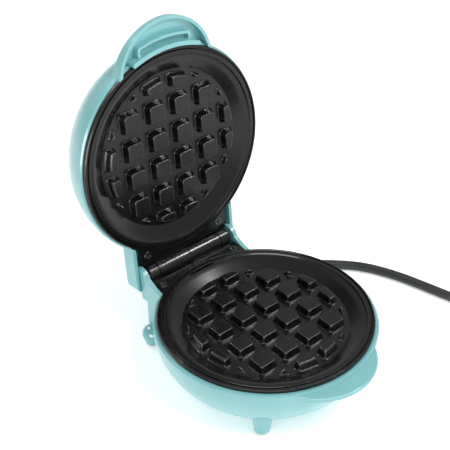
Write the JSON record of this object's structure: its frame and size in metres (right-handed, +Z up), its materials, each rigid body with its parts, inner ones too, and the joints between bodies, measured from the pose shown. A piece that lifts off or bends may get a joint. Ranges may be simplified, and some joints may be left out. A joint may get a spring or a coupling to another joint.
{
  "type": "mini waffle maker",
  "caption": "Small round hinged waffle maker with moulded shells, square-peg baking plates, front handles, rear hinge box and a mains cord with a plug.",
  "frame": {"origin": "middle of the open object's footprint, cord, coil and plug left out, on the table", "axes": "+Z up, -Y towards the handles, +X to the right seen from the handles; the lid is open"},
  "size_m": [0.2613, 0.2866, 0.1843],
  "materials": {
    "mint_shell": "glossy moulded plastic",
    "coated_plate": "black non-stick coating, satin",
    "element_steel": "oxidised tube",
    "pin_steel": "plain",
    "shield_sheet": "mill finish sheet",
    "zinc_screw": "zinc plated",
    "control_body": "matt",
    "terminal_brass": "plain",
    "glass_sleeve": "woven glass sleeve",
    "foot_rubber": "matt",
    "cord_black": "satin sheath",
    "plug_black": "satin",
    "wire_white": "silicone sheath",
    "lens_clear": "clear tinted",
    "lamp_glass": "clear"
  },
  "bodies": {
    "base": {"lower_housing": "mint_shell", "lower_plate": "coated_plate", "lower_heating_element": "element_steel", "lower_element_pins": "pin_steel", "lower_heat_shield": "shield_sheet", "lower_tongue_screws": "zinc_screw", "lower_shield_screws": "zinc_screw", "housing_screws": "zinc_screw", "thermostat": "control_body", "thermostat_blades": "terminal_brass", "thermostat_flange": "pin_steel", "thermostat_screws": "zinc_screw", "thermal_fuse": "pin_steel", "fuse_sleeve": "glass_sleeve", "fuse_clip": "pin_steel", "hinge_pin": "pin_steel", "hinge_pin_clip": "pin_steel", "foot_pads": "foot_rubber", "strain_relief": "cord_black", "inner_cord": "cord_black", "cord_clamp": "control_body", "cord_clamp_screws": "zinc_screw", "power_cord": "cord_black", "cord_coil": "cord_black", "plug_lead": "cord_black", "plug_body": "plug_black", "plug_pins": "pin_steel", "line_wire": "wire_white", "neutral_wire": "wire_white", "fuse_wire": "wire_white", "element_wire": "wire_white"},
    "lid": {"upper_housing": "mint_shell", "upper_plate": "coated_plate", "upper_heating_element": "element_steel", "upper_element_pins": "pin_steel", "upper_heat_shield": "shield_sheet", "upper_tongue_screws": "zinc_screw", "upper_shield_screws": "zinc_screw", "left_lid_lead": "wire_white", "right_lid_lead": "wire_white", "indicator_lens": "lens_clear", "indicator_lamp": "lamp_glass", "lamp_holder": "control_body"}
  },
  "joints": [
    {"name": "lid_hinge", "type": "hinge", "parent": "base", "child": "lid", "pos_m": [0, 0.0481, 0.038], "axis": [1, 0, 0], "range_deg": [0, 95.9]}
  ]
}
